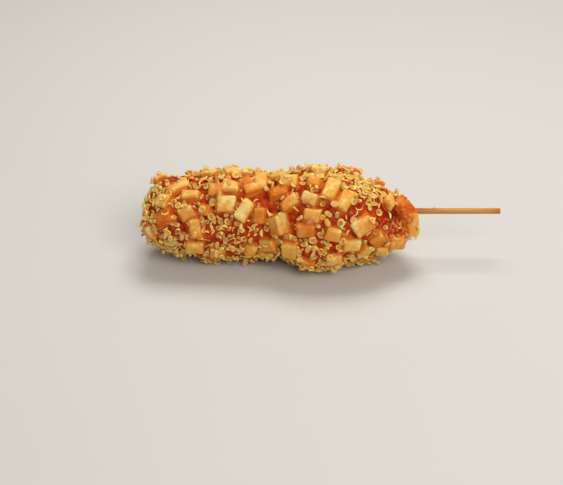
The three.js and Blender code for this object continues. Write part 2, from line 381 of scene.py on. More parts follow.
bare_names = sorted(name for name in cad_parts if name.startswith("potato_"))
die_middles = [node_middle(name) for name in bare_names]
fused_dice = []
for distance, degrees, length, width, turn, glaze in (*SHOWN_FUSED, *far_rows()):
    rise = COATED_RISE * coating(glaze)
    pose = die_pose(distance, degrees, turn, FUSED_STANDS + rise - DIE_HEIGHT / 2)
    spacing = min((pose.translation - other).length for other in die_middles)
    if spacing < DIE_SPACING and degrees > FAR_START:
        continue
    die_middles.append(pose.translation)
    size = Matrix.Diagonal(((length + rise) * MM, (width + rise) * MM, DIE_HEIGHT * MM, 1))
    fused_dice.append((pose @ size, glaze))


WELD_REACH = 0.002 * MM


def voxel_skin(bm, voxel):
    """One even skin round everything in the bmesh."""
    piece = new_piece("rough", mesh_from(bm, "rough"))
    remesh = piece.modifiers.new("remesh", "REMESH")
    remesh.mode = "VOXEL"
    remesh.voxel_size = voxel
    graph = bpy.context.evaluated_depsgraph_get()
    mesh = bpy.data.meshes.new_from_object(piece.evaluated_get(graph))
    bpy.data.objects.remove(piece)
    skin = bmesh.new()
    skin.from_mesh(mesh)
    bpy.data.meshes.remove(mesh)
    return skin


def soften(bm, times):
    for step in range(times):
        bmesh.ops.smooth_vert(bm, verts=bm.verts, factor=0.5, use_axis_x=True,
                              use_axis_y=True, use_axis_z=True)


def add_node_mesh(bm, name, change):
    """Adds a welded copy of a CAD node's mesh, moved by a matrix about its middle."""
    copy = bmesh.new()
    copy.from_mesh(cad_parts[name].data)
    bmesh.ops.remove_doubles(copy, verts=copy.verts, dist=WELD_REACH)
    middle = node_middle(name)
    whole = Matrix.Translation(middle) @ change @ Matrix.Translation(-middle)
    bmesh.ops.transform(copy, matrix=whole, verts=copy.verts)
    mesh = mesh_from(copy, "copy")
    bm.from_mesh(mesh)
    bpy.data.meshes.remove(mesh)


MIDDLE_LINE = (6, BODY_LENGTH - 10)  # the ends of the line that the body is round about


def out_from_body(point):
    """The direction away from the middle line, at a point near the batter."""
    distance = clamp((point.x - TIP_X) / MM, *MIDDLE_LINE)
    return (point - middle_point(distance)).normalized()


BATTER_VOXEL = 0.595 * MM
BATTER_SOFTENING = 5
COLLAR_SINK = 1.5 * MM  # how far below a die's outer face the batter stops
COLLAR_GROW = 1.1  # its width round the die, against the die's

rough_dice = bmesh.new()
for name in bare_names:
    add_node_mesh(rough_dice, name, Matrix.Identity(4))
for box, glaze in fused_dice:
    bmesh.ops.create_cube(rough_dice, size=1, matrix=box)
rough_tree = BVHTree.FromBMesh(rough_dice)
rough_dice.free()

bm = bmesh.new()
bmesh.ops.create_uvsphere(bm, u_segments=72, v_segments=96, radius=1)
for vert in bm.verts:
    distance = BODY_LENGTH * (1 + clamp(vert.co.z, -1, 1)) / 2
    vert.co = batter_point(distance, math.atan2(vert.co.y, vert.co.x))
bmesh.ops.recalc_face_normals(bm, faces=bm.faces)
for name in bare_names:
    sink = Matrix.Translation(-out_from_body(node_middle(name)) * COLLAR_SINK)
    add_node_mesh(bm, name, sink @ Matrix.Scale(COLLAR_GROW, 4))
for box, glaze in fused_dice:
    out = box.to_3x3() @ Vector((0, 0, 1))
    sink = Matrix.Translation(-out.normalized() * COLLAR_SINK)
    bmesh.ops.create_cube(bm, size=1, matrix=sink @ box @ Matrix.Scale(COLLAR_GROW, 4))

bm = voxel_skin(bm, BATTER_VOXEL)
soften(bm, BATTER_SOFTENING)

CRAG_COARSE = 0.5 * MM
CRAG_FINE = 0.18 * MM
SKEWER_CRAGS = 0.9 * MM  # the extra height of those beside the skewer
SKEWER_CRAGS_FROM, SKEWER_CRAGS_FULL = 118, 128
COARSE_SCALE, FINE_SCALE, CRUMB_SCALE = 420, 1300, 900
RIDGE_SCALE = Vector((520, 280, 280))
DENT_AT, DENT_DEGREES = 127.5, 52  # the middle of a torn hollow
DENT_DEPTH, DENT_REACH = 3.2 * MM, 4 * MM
FILM_REACH = 1.3 * MM  # how far from a die the batter is thin enough to show it
BATTER_FLOOR_GAP = 0.15 * MM

bm.normal_update()
relief = bm.verts.layers.float.new("relief")
film = bm.verts.layers.float.new("film")
craggy = bm.verts.layers.float.new("craggy")
dent_middle = batter_point(DENT_AT, math.radians(DENT_DEGREES))
moves = []
for vert in bm.verts:
    past = (vert.co.x - TIP_X) / MM - SKEWER_CRAGS_FROM
    torn = clamp(past / (SKEWER_CRAGS_FULL - SKEWER_CRAGS_FROM))
    near_die = 1 - clamp(rough_tree.find_nearest(vert.co)[3] / FILM_REACH)
    ridge = 0.5 - 1.8 * abs(noise.noise(vert.co * RIDGE_SCALE))
    ridge += 0.5 * noise.noise(vert.co * CRUMB_SCALE)
    hollow = math.exp(-((vert.co - dent_middle).length / DENT_REACH) ** 2)
    rise = CRAG_COARSE * noise.noise(vert.co * COARSE_SCALE)
    rise += CRAG_FINE * noise.noise(vert.co * FINE_SCALE)
    rise += SKEWER_CRAGS * torn * ridge * (1 - near_die)
    rise -= DENT_DEPTH * hollow
    # The height also sets the colour: the lower a place, the deeper red it is painted, as shade.
    vert[relief] = rise / CRAG_COARSE
    # The torn hollow gets no orange film and no crumbs, so that its painted shade stays dark.
    vert[film] = near_die * (1 - hollow)
    vert[craggy] = torn * clamp(0.5 + ridge) * (1 - hollow)
    moves.append(vert.normal * rise)
for vert, move in zip(bm.verts, moves):
    vert.co += move
    vert.co.z = max(vert.co.z, BATTER_FLOOR_GAP)

# BATTER_DEEP is painted shade: in the hollows and crags, and round the grains.
BATTER_DEEP = (0.29, 0.014, 0.001, 1)
BATTER_RED = (0.63, 0.073, 0.003, 1)
BATTER_ORANGE = (0.74, 0.22, 0.026, 1)
BATTER_CRUMB = (0.78, 0.36, 0.08, 1)

fried = Finish("fried_batter", {
    "Specular IOR Level": 0.08,
    "Coat Roughness": 0.18,
    "Subsurface Weight": 0.2,
    "Subsurface Radius": (0.0016, 0.0006, 0.0003),
    "Subsurface Scale": 1.0,
})
# Deep red as painted shade in the hollows and crags, with random darker patches; orange where it
# is thin over a die, and pale crumbs by the skewer.
height = fried.attribute("relief")
patches = fried.noise(190, 3)
crumbs = fried.noise(620, 3)
speckle = fried.noise(1500, 2)
high = height + 1.2 * patches + 0.6 * speckle
colour = fried.mix(fried.ramp(high, 0.0, 1.9), BATTER_DEEP, BATTER_RED)
thin = fried.attribute("film") + 0.5 * patches + 0.9 * crumbs + 0.25 * speckle
colour = fried.mix(fried.ramp(thin, 0.82, 1.88) * 0.9, colour, BATTER_ORANGE)
# Painted shade round the grains, from the shade attribute that the quinoa section sets.
colour = fried.mix(fried.ramp(fried.attribute("shade"), 0.1, 0.9) * 0.35, colour, BATTER_DEEP)
crusty = fried.attribute("craggy") + 1.4 * crumbs + 0.8 * speckle
colour = fried.mix(fried.ramp(crusty, 1.55, 2.1) * 0.8, colour, BATTER_CRUMB)
fried.surface(
    Base_Color=colour,
    Roughness=0.36 + 0.3 * speckle,
    Coat_Weight=fried.ramp(fried.noise(260, 2), 0.4, 0.75) * 0.6,
    Normal=fried.bump(fried.noise(2400, 3) + 2 * fried.noise(900, 2), 0.6, 0.0006),
)
batter_tree = BVHTree.FromBMesh(bm)
batter = new_piece("fried_batter", mesh_from(bm, "fried_batter"), fried.material)
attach(batter, "root")
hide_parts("batter")

# ------------------------------------------------------------------------------- potato dice
# Raw potato cut by hand into uneven dice and fried in the batter: pale and mealy with golden
# patches, crisp at the edges with a painted highlight along them, and stained orange where the
# batter has crept up the sides.
DIE_VOXEL = 0.53 * MM
DIE_RIPPLE = 0.18 * MM
DIE_SKEW = 0.9 * MM  # how far a die's corners wander from a true block
SKEW_SCALE, RIPPLE_SCALE, DIE_CRUMB_SCALE, CRUST_SCALE = 110, 300, 1100, 640
BARE_SOFTENING, COATED_SOFTENING = 2, 4  # steps, and what thick batter adds
DIE_LEAN = 0.22  # how much more glazed one side of a die is than its middle
LEAN_TURN = 2.4  # radians from one die's more glazed side to the next one's
HALF_DIE = 4 * MM
EDGE_BULGE = 0.12 * MM  # how far a point stands out from those round it on a full edge
SOAK_REACH = 2.3 * MM  # how far above the batter a die is stained by it
CORNER_WANDER = 0.45  # millimetres, for the coated dice
CORNER_SEED = 611
BARE_ROUND, COATED_ROUND = 0.1 * MM, 2.6 * MM  # their edges, and what thick batter adds
DIE_FLOOR_GAP = 0.02 * MM
SWOLLEN = {"potato_41": 1.13}  # the end die, which has burst a little in the oil
GLAZED = {  # how much batter is on a die, from less than none on a bare mealy one
    "potato_03": 0.15, "potato_05": 0.2, "potato_06": 0.38, "potato_07": 0.05,
    "potato_08": 0.5, "potato_10": -0.15, "potato_11": 0.2, "potato_12": -0.15,
    "potato_16": 0.45, "potato_17": -0.15, "potato_18": -0.15, "potato_19": 0.25,
    "potato_20": -0.05, "potato_21": 0.24, "potato_24": 0.5, "potato_25": 0.56,
    "potato_26": 0.25, "potato_27": 0.36, "potato_28": 0.36, "potato_29": -0.15,
    "potato_30": 0.05, "potato_31": 0.36, "potato_33": -0.08, "potato_34": 0.14,
    "potato_35": 0.3, "potato_37": 0.5, "potato_38": -0.15, "potato_39": 0.64,
    "potato_40": 0.3, "potato_41": 0.26, "potato_44": 0,
}
USUAL_GLAZE = 0.12
NOISE_SEED = 11

# Without a seed of its own, noise_vector starts from the clock.
noise.seed_set(NOISE_SEED)


def add_die(joined, layers, rough, glaze, number):
    """Softens one rough die and adds it, with what its finish needs on every point."""
    away = Vector((number * 3.1, number * 1.7, 0))  # so that no two dice share a pattern
    for vert in rough.verts:
        vert.co += noise.noise_vector(vert.co * SKEW_SCALE + away) * DIE_SKEW
    skin = voxel_skin(rough, DIE_VOXEL)
    middle = sum((vert.co for vert in skin.verts), Vector()) / len(skin.verts)
    turn = number * LEAN_TURN
    lean = Vector((math.cos(turn), -0.5, math.sin(turn) - 0.7)).normalized()
    coated = coating(glaze)
    soften(skin, BARE_SOFTENING + round(COATED_SOFTENING * coated))
    skin.normal_update()
    moves, marks = [], []
    for vert in skin.verts:
        crumb = noise.noise(vert.co * DIE_CRUMB_SCALE + away)
        crumb += coated * noise.noise(vert.co * CRUST_SCALE + away)
        ripple = noise.noise(vert.co * RIPPLE_SCALE + away) + (0.4 + 0.9 * coated) * crumb
        moves.append(vert.normal * ripple * DIE_RIPPLE * (1 + 1.6 * glaze))
        around = sum((e.other_vert(vert).co for e in vert.link_edges), Vector())
        around /= len(vert.link_edges)
        edge = (vert.co - around).dot(vert.normal) / EDGE_BULGE
        soak = 1 - clamp(batter_tree.find_nearest(vert.co)[3] / SOAK_REACH)
        side = glaze + DIE_LEAN * (vert.co - middle).dot(lean) / HALF_DIE
        marks.append((soak, edge, side))
    base = len(joined.verts)
    for vert, move in zip(skin.verts, moves):
        vert.co += move
        vert.co.z = max(vert.co.z, DIE_FLOOR_GAP)
    mesh = mesh_from(skin, "die")
    joined.from_mesh(mesh)
    bpy.data.meshes.remove(mesh)
    joined.verts.ensure_lookup_table()
    for vert, (soak, edge, side) in zip(joined.verts[base:], marks):
        vert[layers["soak"]] = soak
        vert[layers["edge"]] = edge
        vert[layers["glaze"]] = side
        vert[layers["tint"]] = number * GOLDEN_SHARE % 1


def dice_piece(roughs):
    joined = bmesh.new()
    keys = ("soak", "edge", "glaze", "tint")
    layers = {key: joined.verts.layers.float.new(key) for key in keys}
    for number, (rough, glaze) in enumerate(roughs):
        add_die(joined, layers, rough, glaze, number)
    return joined


def bare_roughs():
    for name in bare_names:
        rough = bmesh.new()
        add_node_mesh(rough, name, Matrix.Scale(SWOLLEN.get(name, 1), 4))
        yield rough, GLAZED.get(name, USUAL_GLAZE)


def fused_roughs():
    wander = random.Random(CORNER_SEED)
    for box, glaze in fused_dice:
        rough = bmesh.new()
        made = bmesh.ops.create_cube(rough, size=1, matrix=box)
        for vert in made["verts"]:
            corner = [wander.uniform(-CORNER_WANDER, CORNER_WANDER) for axis in range(3)]
            vert.co += Vector([away * MM for away in corner])
        bevel = BARE_ROUND + COATED_ROUND * coating(glaze)
        bmesh.ops.bevel(rough, geom=rough.edges, offset=bevel, segments=3, affect="EDGES",
                        profile=0.5, material=-1)
        yield rough, glaze


POTATO_PALE = (0.86, 0.69, 0.27, 1)
POTATO_EDGE_HIGHLIGHT = (0.90, 0.74, 0.33, 1)
POTATO_GOLD = (0.80, 0.45, 0.06, 1)
POTATO_ORANGE = (0.73, 0.26, 0.028, 1)
GLAZE_RED = (0.58, 0.10, 0.008, 1)

potato = Finish("fried_potato", {
    "Specular IOR Level": 0.14,
    "Coat Roughness": 0.18,
    "Subsurface Weight": 0.35,
    "Subsurface Radius": (0.0024, 0.0013, 0.0005),
    "Subsurface Scale": 1.0,
})
# Pale with golden patches, orange to red where batter has soaked in, and a painted highlight
# along the convex edges.
mottle = potato.noise(330, 3)
broad = potato.noise(150, 1)
flecks = potato.noise(900, 2)
tint = potato.attribute("tint")
edge = potato.attribute("edge")
golden = broad + 0.6 * mottle + 0.3 * flecks + 0.25 * tint
colour = potato.mix(potato.ramp(golden, 0.82, 1.32), POTATO_PALE, POTATO_GOLD)
cover = potato.attribute("glaze") + 0.8 * potato.attribute("soak")
cover = cover + 0.6 * mottle + 0.4 * flecks
colour = potato.mix(potato.ramp(cover, 0.8, 1.55), colour, POTATO_ORANGE)
# Painted highlight: convex edges are lightened towards a pale cream.
colour = potato.mix(potato.ramp(edge + 0.6 * mottle, 0.55, 1.3) * 0.6, colour, POTATO_EDGE_HIGHLIGHT)
colour = potato.mix(potato.ramp(cover, 1.38, 1.95), colour, GLAZE_RED)
colour = potato.mix(potato.ramp(flecks + 0.7 * mottle, 0.9, 1.15) * 0.55, colour, POTATO_GOLD)
potato.surface(
    Base_Color=colour,
    Roughness=0.36 + 0.25 * flecks,
    Coat_Weight=potato.ramp(potato.noise(300, 2), 0.45, 0.75) * 0.6,
    Normal=potato.bump(potato.noise(1900, 3) + potato.noise(700, 2), 0.5, 0.0004),
)

bm = dice_piece(bare_roughs())
bare_tree = BVHTree.FromBMesh(bm)
dice = new_piece("potato_dice", mesh_from(bm, "potato_dice"), potato.material)
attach(dice, "root")
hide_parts(*bare_names)

bm = dice_piece(fused_roughs())
fused_tree = BVHTree.FromBMesh(bm)
glazed_dice = new_piece("potato_glazed", mesh_from(bm, "potato_glazed"), potato.material)
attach(glazed_dice, "root")
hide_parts("batter")

# ------------------------------------------------------------------------------------ quinoa
# Cooked quinoa rolled on and fried: glassy, see-through shells with the cream germ as a thick
# crescent along one side, and germs that have come away as curls. The batter holds them.
SEED_SHAPES = {  # width, the shell's thickness, how far it is cupped, the germ's sweep and size
    "cup": (0.92, 0.10, 0.42, 3.5, 0.30),
    "plump": (0.82, 0.34, 0.10, 2.6, 0.34),
    "slice": (0.62, 0.16, 0.30, 3.0, 0.32),
    "ring": (0.95, 0.05, 0.16, 5.4, 0.24),
}
CURL_SHAPES = {  # sweep, pitch and thickness, for a curl of radius 1
    "crescent": (1.7, 0.1, 0.34),
    "arc": (2.3, 0.2, 0.29),
    "hook": (3.1, 0.2, 0.24),
    "loop": (4.6, 0.3, 0.19),
}
# How often each shape comes.
SEED_NAMES = ("cup",) * 5 + ("plump",) * 4 + ("slice",) * 4 + ("ring",)
CURL_NAMES = ("crescent",) * 6 + ("arc",) * 4 + ("hook",) * 2 + ("loop",)
SEED_SIDES, SEED_RINGS = 12, 6
ROLL_FROM, RIM_FROM = 0.7, 0.95  # of a seed's radius: the germ's roll, and the rim outside it
RIM_GERM_AND_HIGHLIGHT = 0.34  # how much of the germ's colour a seed's rim has all the way round: partly the germ, and partly a painted highlight for the bright edge of a thin clear shell
CURL_SIDES, CURL_STEPS = 5, 8
CURL_TAPER = (0.2, 0.8)  # a curl's thickness at its ends, and what its middle has more
CURL_LAP = 0.3  # radians before a curl's start that still count as its start


def curl_mesh(sweep, pitch, thickness):
    """A thin tapered tube bent round part of a circle of radius 1, its bulge towards +X."""
    bm = bmesh.new()
    germ = bm.verts.layers.float.new("germ")
    upright = Matrix.Translation((1, 0, -pitch / 2)) @ Matrix.Rotation(math.pi / 2, 4, "X")
    bmesh.ops.create_circle(bm, segments=CURL_SIDES, radius=thickness, cap_ends=True,
                            matrix=upright)
    bmesh.ops.spin(bm, geom=bm.verts[:] + bm.edges[:] + bm.faces[:], cent=(0, 0, 0),
                   axis=(0, 0, 1), angle=sweep, steps=CURL_STEPS,
                   dvec=(0, 0, pitch / CURL_STEPS))
    for vert in bm.verts:
        turn = (math.atan2(vert.co.y, vert.co.x) + CURL_LAP) % (2 * math.pi) - CURL_LAP
        share = clamp(turn / sweep)
        ring = Vector((math.cos(turn), math.sin(turn), pitch * (share - 0.5)))
        taper = CURL_TAPER[0] + CURL_TAPER[1] * math.sin(math.pi * share) ** 0.9
        vert.co = ring + (vert.co - ring) * taper
        vert[germ] = 1
    middle_forward = Matrix.Rotation(-sweep / 2, 3, "Z")
    bmesh.ops.rotate(bm, cent=(0, 0, 0), matrix=middle_forward, verts=bm.verts)
    bmesh.ops.recalc_face_normals(bm, faces=bm.faces)
    return mesh_from(bm, "curl")


def seed_mesh(width, shell, cupped, sweep, size):
    """A cupped shell of thin skin, with the germ as a thick roll round part of its rim."""
    bm = bmesh.new()
    germ = bm.verts.layers.float.new("germ")
    bmesh.ops.create_uvsphere(bm, u_segments=SEED_SIDES, v_segments=SEED_RINGS, radius=1)
    for vert in bm.verts:
        across = math.hypot(vert.co.x, vert.co.y)
        turn = abs(math.atan2(vert.co.y, vert.co.x))
        roll = math.cos(clamp(turn / sweep) * math.pi) ** 0.9 if turn < sweep / 2 else 0
        on_roll = ROLL_FROM < across < RIM_FROM
        skin = shell * (1 - across * across) ** 0.5 + (size * roll if on_roll else 0)
        side = (vert.co.z > 0.01) - (vert.co.z < -0.01)
        radius = across ** 1.4 * (0.92 + 0.12 * roll)
        y = math.copysign(math.sin(turn), vert.co.y) * width
        vert.co = Vector((math.cos(turn), y, 0)) * radius
        vert.co.z = cupped * (radius * radius - 0.5) + side * skin
        # The rim is germ-coloured all round: partly the germ, and partly a painted highlight on
        # the shell's edge.
        vert[germ] = max(roll, RIM_GERM_AND_HIGHLIGHT) if across > RIM_FROM else roll if on_roll else 0
    return mesh_from(bm, "seed")


shapes = {name: seed_mesh(*sizes) for name, sizes in SEED_SHAPES.items()}
shapes |= {name: curl_mesh(*sizes) for name, sizes in CURL_SHAPES.items()}

# How thick the quinoa lies: the usual amount, and what zones add to it or take from it. A
# zone has a distance, degrees, its reach in millimetres and in degrees, and an amount.
USUAL_THICKNESS = 0.37
UNEVEN_FROM = 130  # degrees, past which it lies thick and thin by chance
UNEVEN_PATCHES = 0.7
PATCH_LENGTH, PATCH_DEGREES = 11, 28
THICKNESS = (
    (6, 20, 9, 90, 0.5), (12, -20, 14, 34, 0.6), (14, 100, 14, 30, 0.4), (47, 0, 15, 26, 0.6),
    (91, -20, 13, 24, 0.55), (85, 104, 26, 20, 0.45), (113, 76, 17, 28, 0.7),
    (108, 112, 20, 25, 0.6), (127, -10, 9, 20, 0.2), (70, -56, 80, 22, 0.6),
    (17, 30, 7, 12, -0.6), (56, 55, 12, 9, -0.7), (66, 42, 6, 12, -0.6), (63, 0, 5, 9, -0.5),
    (93, 73, 5, 14, -0.5), (84, 34, 6, 12, -0.3), (112, 36, 10, 9, -0.7), (115, 0, 8, 8, -0.7),
    (128, 30, 8, 22, -1.2), (27, -20, 6, 10, -0.7), (65, -33, 7, 9, -0.5), (102, 50, 7, 14, -0.6),
    (118, -28, 9, 9, -0.5), (128, 50, 5, 16, -1.2), (134, 74, 6, 22, -1.6),
    (9, 112, 11, 34, -0.5), (0, 90, 5, 240, 0.3), (110, 46, 14, 12, 0.25), (113, 18, 8, 9, 0.3),
)


def thickness_at(distance, degrees):
    """How thick the quinoa lies there, where one is full and none or less is bare."""
    thick = USUAL_THICKNESS
    for at, angle, reach, spread, amount in THICKNESS:
        away = ((distance - at) / reach) ** 2 + ((degrees - angle) / spread) ** 2
        thick += amount * math.exp(-away)
    if degrees > UNEVEN_FROM:
        patch = Vector((distance / PATCH_LENGTH, degrees / PATCH_DEGREES, 3))
        thick += UNEVEN_PATCHES * noise.noise(patch)
    return min(thick, 1)


# Grains that stand out: distance, degrees, shape, radius, tilt, and the way the germ faces.
PLACED = (
    (12.5, 51, "cup", 1.9, 10, 30), (32, 78, "loop", 2.5, 8, 150),
    (34, 54, "slice", 1.5, 25, 100), (36, 28, "ring", 2.1, 8, 260),
    (37.5, 15, "hook", 2.3, 5, 180), (37.5, 35, "plump", 0.9, 5, 0),
    (43.5, 30, "plump", 1.5, 60, 340), (44.5, 21, "cup", 2.0, 15, 170),
    (43, -5, "plump", 2.2, 10, 250), (45, 12, "slice", 1.4, 20, 60), (49, 6, "cup", 1.6, 75, 0),
    (47, 2, "slice", 1.4, 70, 90), (53, 17, "crescent", 2.9, 5, 185),
    (56, 13, "arc", 1.9, 20, 330), (58.5, 7, "plump", 1.4, 5, 45),
    (52.5, 46, "hook", 1.9, 10, 250), (59, 47, "arc", 1.6, 15, 120),
    (63.5, 3, "crescent", 2.6, 10, 180), (64.5, -6, "arc", 1.5, 5, 270),
    (69, 47, "plump", 0.9, 20, 0), (70.5, 41, "crescent", 1.5, 10, 230),
    (67, 37, "arc", 2.7, 10, 235), (72, 30, "slice", 1.8, 40, 160),
    (74.5, 20, "cup", 2.0, 35, 200), (77, 10, "crescent", 1.8, 5, 240),
    (84.5, 48, "cup", 1.5, 10, 200), (91.5, 66, "crescent", 3, 12, 175),
    (92, 50, "hook", 1.8, 5, 80), (89.5, 41, "crescent", 2, 10, 300),
    (85, 68, "crescent", 1.6, 10, 0), (103.5, 74, "crescent", 2.2, 10, 270),
    (115, 90, "cup", 2.1, 30, 110), (115.5, 71, "plump", 1.8, 10, 0),
    (111, 62, "plump", 1.3, 10, 90), (114, 53, "slice", 1.7, 30, 270),
    (108, 36, "hook", 1.5, 5, 320), (105, 31, "crescent", 1.6, 10, 190),
    (102.5, 28, "arc", 1.6, 10, 250), (100.5, 23, "ring", 2.4, 10, 20),
    (99, 33, "slice", 1.9, 10, 90), (110, 45, "hook", 1.8, 5, 270),
    (120, 41, "cup", 1.9, 15, 290), (125, 38, "crescent", 2.1, 10, 20),
    (120, 24, "crescent", 3.2, 10, 170), (123, 18, "slice", 2.1, 20, 350),
    (128.5, -3, "hook", 1.6, 5, 250), (126, 0, "crescent", 2.6, 15, 200),
    (115, 11, "arc", 2.2, 10, 120), (108.5, 5, "crescent", 2.4, 5, 265),
    (103, 9, "slice", 1.5, 60, 180), (113, -7, "ring", 1.4, 5, 0),
    (99.5, -2, "crescent", 2, 10, 290), (92, -1, "plump", 1.7, 5, 0),
    (86.5, 7, "ring", 2.1, 20, 100), (136, -13, "crescent", 2.3, 10, 275),
    (138, -38, "plump", 1.8, 50, 0), (137, -25, "slice", 1.2, 30, 0),
    (76.5, 112, "slice", 2, 85, 90), (74, 108, "hook", 2, 70, 0), (73.5, 73, "cup", 2.1, 15, 200),
    (77, 78, "plump", 1.7, 10, 90), (75, 82, "slice", 1.9, 30, 300),
    (79, 72, "crescent", 2, 15, 240), (80, 80, "arc", 1.8, 20, 20),
    (139, -30, "cup", 2.1, 60, 20), (138.5, -48, "plump", 1.6, 50, 200),
    (139, -8, "slice", 1.7, 50, 10), (128, 63, "plump", 1.2, 60, 90),
)


SEED_RADIUS = (1.55, 2.4)  # millimetres
CURL_RADIUS = (1.5, 2.4)
GRAIN_WIDTH = (0.75, 1)
RAY_FROM, RAY_REACH = 9, 16 * MM  # how far out it starts, in millimetres, and its length
FLAT_LIFT, STEEP_LIFT = 0.22, 0.6  # of a grain's radius, how high its middle is over the surface
GRAIN_BEND = 0.45 * MM
BEND_SCALE = 320
GRAIN_SOAK = 1.1 * MM  # how far above the batter a grain is stained by it
GRAINS_OUTSIDE = 0.02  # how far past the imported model's box grains may reach, of its sides


def surface_below(distance, degrees):
    """The outermost place there: whether it is on a die, the point, and its normal."""
    angle = math.radians(degrees)
    away = batter_out(distance, angle)
    start = batter_point(distance, angle) + away * RAY_FROM * MM
    found = []
    for on_die, tree in ((False, batter_tree), (True, bare_tree), (True, fused_tree)):
        point, normal, _, reach = tree.ray_cast(start, -away, RAY_REACH)
        if point is not None:
            found.append((reach, on_die, point, normal))
    return min(found, key=lambda hit: hit[0])[1:] if found else None


def grain_pose(point, normal, degrees, scale, width, tilt, turn):
    """A grain on a surface: its disc's plane tilted from the surface, and turned."""
    lift = (FLAT_LIFT + STEEP_LIFT * math.sin(tilt)) * scale
    pose = pose_on(point + normal * lift, normal, math.radians(degrees))
    lean = Matrix.Rotation(turn, 4, "Z") @ Matrix.Rotation(tilt, 4, "Y")
    return pose @ lean @ Matrix.Diagonal((scale, scale * width, scale, 1))


# The room for grains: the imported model's box and a little more, but nothing under the floor.
cad_low, cad_high = cad_box
spare = (cad_high - cad_low) * GRAINS_OUTSIDE
grain_low, grain_high = cad_low - spare, cad_high + spare
grain_low.z = 0


def add_grain(pieces, shape, pose, point, normal, tint, over):
    """Adds a grain to the piece for its kind, bent a little, and kept inside the room."""
    bm, layers = pieces["quinoa_seeds" if shape in SEED_SHAPES else "quinoa_curls"]
    base = len(bm.verts)
    bm.from_mesh(shapes[shape])
    bm.verts.ensure_lookup_table()
    added = bm.verts[base:]
    bmesh.ops.transform(bm, matrix=pose, verts=added)
    for vert in added:
        vert.co += noise.noise_vector(vert.co * BEND_SCALE) * GRAIN_BEND
        above = (vert.co - point).dot(normal) / GRAIN_SOAK
        vert[layers["tint"]] = tint
        vert[layers["low"]] = over * clamp(1 - above)
    inward = Vector()
    for axis in range(3):
        reach = [vert.co[axis] for vert in added]
        inward[axis] += max(0, grain_low[axis] - min(reach))
        inward[axis] -= max(0, max(reach) - grain_high[axis])
    bmesh.ops.translate(bm, vec=inward, verts=added)


GRAIN_SEED = 1187
GRAIN_TRIES = 16000
FULL_RADIUS, LEAST_ROOM = 24, 0.12  # the thinner the body, the fewer tries count
LEAST_CHANCE = 0.04
GRAINS_APART = (3.7, 1.85)  # millimetres, where they are scarce and where they lie thick
APART_WANDER = (0.85, 1.15)
CURL_SHARE = 0.4
STEEP_SHARE = 0.4  # of the grains, those that stand up instead of lying flat
STEEP_TILT, FLAT_TILT = (0.5, 1.4), (0, 0.4)
TIP_FLAT = (24, 55)  # nearer the tip and higher than this, in millimetres and degrees, none do
LOW_DEGREES, TOP_DEGREES = -32, 96
LOW_DIE_SHARE = 0.3  # of the grains that fall on a die low down, those that stay
DIE_SHARE = 0.005  # and on the side
TOP_DIE_SHARE = 0.12  # and along the top and beyond
FLOOR_ROOM = 0.6  # of a grain's radius, how high its middle has to be
STAIN_LESS_ON_TOP = 0.65  # how much less stained grains are towards the top
LESS_STAIN_FROM, LESS_STAIN_OVER = 45, 35
DIE_STAIN = 0.15
PLACED_TINT, PLACED_DIE_STAIN = 0.6, 0.3

rng = random.Random(GRAIN_SEED)
pieces = {}
for name in ("quinoa_seeds", "quinoa_curls"):
    bm = bmesh.new()
    keys = ("tint", "low", "germ")
    pieces[name] = bm, {key: bm.verts.layers.float.new(key) for key in keys}
taken = []
for distance, degrees, shape, radius, tilt, turn in PLACED:
    on_die, point, normal = surface_below(distance, degrees)
    pose = grain_pose(point, normal, degrees, radius * MM, 1, math.radians(tilt),
                      math.radians(turn))
    over = PLACED_DIE_STAIN if on_die else 1
    add_grain(pieces, shape, pose, point, normal, rng.random() * PLACED_TINT, over)
    taken.append(point)
for i in range(GRAIN_TRIES):
    rng = random.Random(GRAIN_SEED + i)  # one of its own, so that no grain moves the others
    distance = BODY_LENGTH * rng.random()
    degrees = rng.uniform(-90, 270)
    found = surface_below(distance, degrees)
    if rng.random() > body_radius(distance) / FULL_RADIUS + LEAST_ROOM or not found:
        continue
    on_die, point, normal = found
    thick = thickness_at(distance, degrees)
    chance = LEAST_CHANCE + thick
    if on_die and chance > 0:  # where the batter is bare, so are the dice
        chance = DIE_SHARE if degrees < TOP_DEGREES else TOP_DIE_SHARE
        if degrees < LOW_DEGREES:
            chance = LOW_DIE_SHARE
    apart = mix(GRAINS_APART, thick) * rng.uniform(*APART_WANDER) * MM
    if rng.random() > chance or any((point - other).length < apart for other in taken):
        continue
    is_curl = rng.random() < CURL_SHARE
    shape = rng.choice(CURL_NAMES if is_curl else SEED_NAMES)
    scale = rng.uniform(*(CURL_RADIUS if is_curl else SEED_RADIUS)) * MM
    steep = rng.random() < STEEP_SHARE and not (distance < TIP_FLAT[0] and degrees > TIP_FLAT[1])
    tilt = rng.uniform(*(STEEP_TILT if steep else FLAT_TILT))
    turn = rng.uniform(0, 2 * math.pi)
    pose = grain_pose(point, normal, degrees, scale, rng.uniform(*GRAIN_WIDTH), tilt, turn)
    if pose.translation.z > scale * FLOOR_ROOM:
        taken.append(point)
        # Grains towards the top are given less stain, so that they are paler.
        less_stain = STAIN_LESS_ON_TOP * clamp((degrees - LESS_STAIN_FROM) / LESS_STAIN_OVER)
        over = DIE_STAIN if on_die else 1 - less_stain
        add_grain(pieces, shape, pose, point, normal, rng.random(), over)

SHELL_CREAM = (1.0, 0.68, 0.24, 1)
SHELL_TOAST = (0.96, 0.43, 0.07, 1)
GERM_CREAM = (0.98, 0.72, 0.19, 1)
GERM_GOLD = (0.94, 0.52, 0.065, 1)
SOAKED_RED = (0.62, 0.15, 0.016, 1)

quinoa = Finish("cooked_quinoa", {
    "Specular IOR Level": 0.1,
    "Coat Roughness": 0.1,
    "Coat Weight": 0.12,
    "Subsurface Weight": 0.25,
    "Subsurface Radius": (0.0007, 0.0005, 0.0003),
    "Subsurface Scale": 1.0,
})
